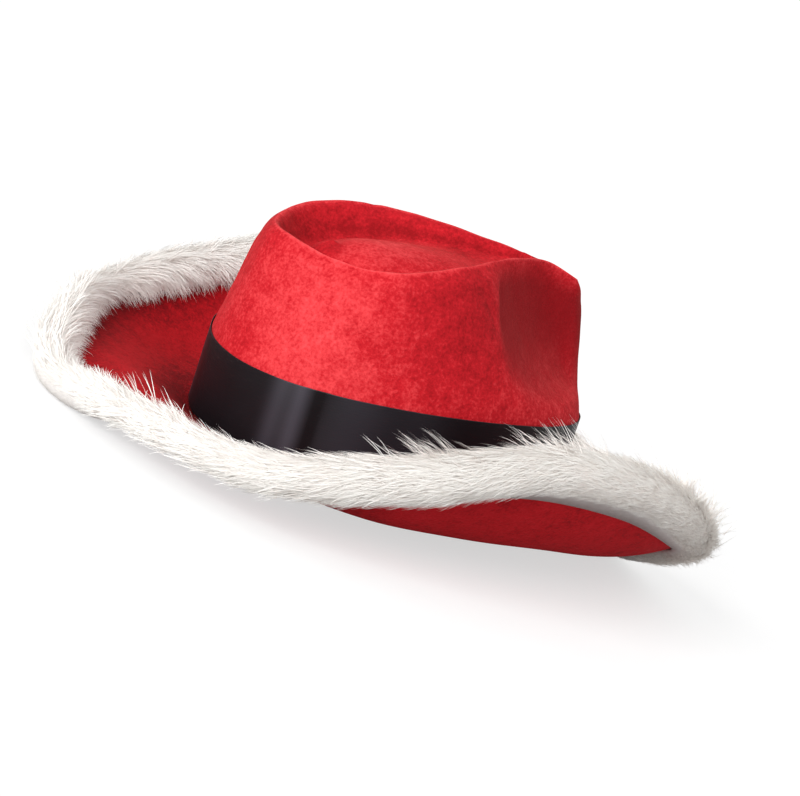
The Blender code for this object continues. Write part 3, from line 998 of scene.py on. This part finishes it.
def grown(tree, strip, name, inputs):
    """Runs the fur tree on a strip and keeps the result as a plain mesh, clear of the floor."""
    modifier = strip.modifiers.new("fur", "NODES")
    modifier.node_group = tree
    for item in tree.interface.items_tree:
        if item.name in inputs:
            modifier[item.identifier] = inputs[item.name]
    bpy.context.view_layer.update()
    graph = bpy.context.evaluated_depsgraph_get()
    mesh = bpy.data.meshes.new_from_object(strip.evaluated_get(graph))
    strip.modifiers.remove(modifier)
    mesh.name = name
    points = np.empty(len(mesh.vertices) * 3, np.float32)
    mesh.vertices.foreach_get("co", points)
    points[2::3] = np.maximum(points[2::3], FLOOR_CLEAR)
    mesh.vertices.foreach_set("co", points)
    mesh.shade_smooth()
    mesh.materials.clear()
    mesh.materials.append(inputs["Material"])
    made = put(name, mesh)
    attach(made, "root")


def strip_of(roll, fields, columns):
    """A stretch of the roll's skin as an object for fur to grow on, with its fields."""
    width = len(columns)
    ring, i = np.meshgrid(np.arange(len(roll) - 1), np.arange(width - 1), indexing="ij")
    corner = ring * width + i
    quads = np.stack([corner, corner + 1, corner + width + 1, corner + width], axis=-1)
    strip = bpy.data.meshes.new("strip")
    strip.from_pydata(roll[:, columns].reshape(-1, 3).tolist(), [], quads.reshape(-1, 4).tolist())
    for label, values in fields.items():
        part = values[:, columns].astype(np.float32)
        kind, name = ("FLOAT", "value") if part.ndim == 2 else ("FLOAT_VECTOR", "vector")
        strip.attributes.new(label, kind, "POINT").data.foreach_set(name, part.ravel())
    return put("strip", strip)


def fur_trim():
    """The faux fur: a soft backing round the brim's edge, and long pile grown on it."""
    lips, roll, lean, angles, outward, across = roll_section()
    section = np.concatenate([np.array(lips), roll]) + HAT_AT
    rows = len(section)
    section[:, :, 2] = np.maximum(section[:, :, 2], 2 * FLOOR_CLEAR)
    faces = grid_faces(rows) + bridge((rows - 1) * STATIONS, 0)
    pile = faux_fur()
    backing = mesh_piece("fur_backing", section.reshape(-1, 3), faces, fur_cloth())
    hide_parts("fur_trim")
    fields = pile_fields(roll, lean, angles, outward, across)
    roll = section[len(lips) :]
    shapes, tree = lock_shapes(pile), fur_tree()
    quarter, density = STATIONS // 4, LOCK_DENSITY * 1.0
    stretches = [
        (name, number * quarter, quarter, density, 1.0, PILE_LENGTH, 0.0)
        for number, name in enumerate(("left_front", "left_back", "right_back", "right_front"))
    ]
    stretches.append(("wisps", 0, STATIONS, WISP_DENSITY, 0.0, WISP_LENGTH, WISP_RISE))
    for seed, (name, first, count, locks, evenness, long, rise) in enumerate(stretches):
        holder = strip_of(roll, fields, np.arange(first, first + count + 1) % STATIONS)
        inputs = {
            "Lock Shapes": shapes,
            "Density": float(locks),
            "Evenness": evenness,
            "Shortest": long * LOCK_SIZES[0],
            "Longest": long * LOCK_SIZES[1],
            "Rise": rise,
            "Seed": FUR_SEED + seed,
            "Material": pile,
        }
        grown(tree, holder, f"fur_{name}", inputs)
        bpy.data.objects.remove(holder, do_unlink=True)
    for shape in list(shapes.objects):
        bpy.data.objects.remove(shape, do_unlink=True)
    bpy.data.collections.remove(shapes)


def surface(name):
    """A new material, its tree and its shader."""
    made = bpy.data.materials.new(name)
    made.use_nodes = True
    tree = made.node_tree
    return made, tree, tree.nodes["Principled BSDF"]


def noise(tree, spot, grain, detail, roughness=0.5):
    """Noise over a surface, from 0 to 1, whose largest grains are so many metres across."""
    inputs = {"Vector": spot, "Scale": 1 / grain, "Detail": detail, "Roughness": roughness}
    return add(tree, "ShaderNodeTexNoise", inputs).outputs["Fac"]


def ramped(tree, level, low, high):
    """Colours from low to high, read at a level from 0 to 1."""
    made = add(tree, "ShaderNodeValToRGB", {"Fac": level})
    for stop, code in zip(made.color_ramp.elements, (low, high)):
        stop.color = (*linear(code), 1)
    return made


def carried(tree, label):
    """A field that the mesh carries, under its name."""
    return add(tree, "ShaderNodeAttribute", attribute_name=label).outputs


def tinted(tree, ramp, label, code):
    """A ramp's colour, which goes over to another by a field of the mesh."""
    share, colour = carried(tree, label)["Fac"], ramp.outputs["Color"]
    inputs = {"Fac": share, "Color1": colour, "Color2": (*linear(code), 1)}
    return add(tree, "ShaderNodeMixRGB", inputs).outputs["Color"]


def relief(tree, height, strength, distance):
    """The normal of the small relief that a texture draws."""
    inputs = {"Strength": strength, "Distance": distance, "Height": height}
    return add(tree, "ShaderNodeBump", inputs).outputs["Normal"]


def two_glows(tree, to_the_hat, to_the_camera):
    """One strength of light for what it falls on, and another as the camera sees it."""
    seen = add(tree, "ShaderNodeLightPath").outputs["Is Camera Ray"]
    inputs = {"Value": seen, "To Min": to_the_hat, "To Max": to_the_camera}
    return add(tree, "ShaderNodeMapRange", inputs).outputs["Result"]


def velour(name, dark, middle_red, light, pressed_nap_and_shade_red, sheen):
    """Knitted polyester velour: a short dense pile that mottles where it is rubbed and lights up
    where it is seen edge on. Its colour carries painted light and shade from a field of the mesh,
    and it goes over to a deeper red where the nap is pressed, which on the crown is partly painted
    shade."""
    made, tree, shader = surface(name)
    spot = add(tree, "ShaderNodeTexCoord").outputs["Object"]
    pile = noise(tree, spot, 0.0017, 4.0, 0.65)
    mottled = reckoned(tree, "MULTIPLY_ADD", noise(tree, spot, 0.0065, 3.0, 0.6), 0.6, pile)
    nap_and_painted_light = reckoned(tree, "MULTIPLY_ADD", carried(tree, "nap_and_painted_light")["Fac"], 0.45, mottled)
    limits = {"Value": nap_and_painted_light, "From Min": 0.565, "From Max": 1.485}
    shade = add(tree, "ShaderNodeMapRange", limits).outputs["Result"]
    ramp = ramped(tree, shade, dark, light)
    ramp.color_ramp.elements.new(0.45).color = (*linear(middle_red), 1)
    coat = {
        "Base Color": tinted(tree, ramp, "pressed_nap_and_shade", pressed_nap_and_shade_red),
        "Normal": relief(tree, pile, 0.6, 0.0009),
        "Roughness": 0.85,
        "Specular IOR Level": 0.12,
        "Sheen Weight": sheen,
        "Sheen Roughness": 0.35,
        "Sheen Tint": (*linear("#FF6C66"), 1),
    }
    feed(tree, shader, coat)
    return made


def satin():
    """Woven polyester satin: near black, with a soft sheen along its fine ribs, and lighter bands
    of painted sheen.
    """
    made, tree, shader = surface("woven_satin")
    spot = add(tree, "ShaderNodeUVMap", uv_map="cloth").outputs["UV"]
    weave = {"Vector": spot, "Scale": 1 / 0.0042, "Distortion": 0.3}
    ribs = add(tree, "ShaderNodeTexWave", weave, bands_direction="Y").outputs["Fac"]
    ramp = ramped(tree, noise(tree, spot, 0.02, 3.0), "#09080A", "#131216")
    coat = {
        "Base Color": tinted(tree, ramp, "painted_sheen", "#45434B"),
        "Normal": relief(tree, ribs, 0.25, 0.0001),
        "Roughness": 0.42,
        "Specular IOR Level": 0.24,
    }
    feed(tree, shader, coat)
    return made


def fur_cloth():
    """The knitted backing that the pile stands on, a greyish white seen a little between locks."""
    made, tree, shader = surface("knitted_backing")
    spot = add(tree, "ShaderNodeTexCoord").outputs["Object"]
    knit = ramped(tree, noise(tree, spot, 0.003, 3.0), "#DAD4D0", "#F4F1EE").outputs["Color"]
    feed(tree, shader, {"Base Color": knit, "Roughness": 0.95, "Specular IOR Level": 0.1})
    return made


def faux_fur():
    """Acrylic faux fur: soft white strands with a faint gloss, greyer and pinker towards their
    roots as painted shade and painted red bounce light, and with a faint painted glow. Each strand
    is lit partly as the skin under it is, as a dense pile is."""
    made, tree, shader = surface("acrylic_pile")
    tone = reckoned(tree, "MULTIPLY", carried(tree, "tone")["Fac"], 0.35)
    level = reckoned(tree, "ADD", carried(tree, "tip")["Fac"], tone)
    # Greyer, pinker roots: painted shade and painted red bounce light between the strands
    ramp = ramped(tree, level, "#E2D6CF", "#F7F5F1")
    ramp.color_ramp.elements[1].position = 0.8
    blade = add(tree, "ShaderNodeNewGeometry").outputs["Normal"]
    skin = {0: carried(tree, "skin")["Vector"], 1: (0.5, 0.5, 0.5), 2: blade}
    soft = add(tree, "ShaderNodeVectorMath", skin, operation="MULTIPLY_ADD").outputs["Vector"]
    lit = add(tree, "ShaderNodeVectorMath", {0: soft}, operation="NORMALIZE").outputs["Vector"]
    coat = {
        "Base Color": ramp.outputs["Color"],
        "Normal": lit,
        "Roughness": 0.6,
        "Specular IOR Level": 0.2,
        "Sheen Weight": 0.15,
        # A faint painted glow, for light that passes through the white pile
        "Emission Color": (*linear("#FFF8F2"), 1),
        "Emission Strength": 0.04,
    }
    feed(tree, shader, coat)
    return made


def paper():
    """Matt white background paper, lit from behind almost to white, so shadows on it are faint."""
    made, tree, shader = surface("background_paper")
    spot = add(tree, "ShaderNodeTexCoord").outputs["Object"]
    coat = {
        "Base Color": ramped(tree, noise(tree, spot, 0.025, 2.0), "#B4B4B4", "#B8B8B8").outputs[0],
        "Emission Strength": two_glows(tree, FLOOR_BOUNCE, FLOOR_GLOW),
        "Emission Color": (1.0, 1.0, 1.0, 1.0),
        "Roughness": 1.0,
        "Specular IOR Level": 0.0,
    }
    feed(tree, shader, coat)
    return made


def camera():
    """The camera of the photograph."""
    bearing, height, roll = (math.radians(a) for a in (VIEW_BEARING, VIEW_HEIGHT, VIEW_ROLL))
    level = math.cos(height)
    back = Vector((math.sin(bearing) * level, -math.cos(bearing) * level, math.sin(height)))
    level_right = Vector((math.cos(bearing), math.sin(bearing), 0.0))
    level_up = back.cross(level_right)
    right = level_right * math.cos(roll) + level_up * math.sin(roll)
    up = level_up * math.cos(roll) - level_right * math.sin(roll)
    origin = Vector(HAT_AT)
    place = origin + back * VIEW_DISTANCE
    aim = origin + right * VIEW_RIGHT + up * VIEW_UP
    away = (place - aim).normalized()
    across = (right - away * right.dot(away)).normalized()
    turn = Matrix((across, away.cross(across), away)).transposed()
    data = bpy.data.cameras.new("camera")
    data.lens = VIEW_LENS
    made = put("camera", data)
    made.matrix_world = Matrix.Translation(place) @ turn.to_4x4()
    bpy.context.scene.camera = made


def sun(name, way, spread, strength):
    """A wide, soft, even light from one side, as a large window gives."""
    data = bpy.data.lights.new(name, "SUN")
    data.angle = math.radians(spread)
    data.energy = strength
    put(name, data).rotation_euler = Vector(way).to_track_quat("Z", "Y").to_euler()


def studio():
    """A white floor, a white sky and two wide suns, the main one on the camera's left."""
    mesh, far = bpy.data.meshes.new("floor"), FLOOR_REACH
    corners = [(-far, -far, 0), (far, -far, 0), (far, far, 0), (-far, far, 0)]
    mesh.from_pydata(corners, [], [(0, 1, 2, 3)])
    mesh.materials.append(paper())
    floor = put("floor", mesh)
    world = bpy.data.worlds.new("studio")
    world.use_nodes = True
    tree = world.node_tree
    sky = {"Color": (1.0, 1.0, 1.0, 1.0), "Strength": two_glows(tree, SKY_LIGHT, 1.0)}
    feed(tree, tree.nodes["Background"], sky)
    bpy.context.scene.world = world
    for name, way, spread, strength in SUNS:
        sun(name, way, spread, strength)
    bpy.context.scene.view_settings.view_transform = "Standard"


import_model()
HAT_AT = hat_place()

camera()
studio()
crown_plush()
brim_plush()
hat_ribbon()
fur_trim()
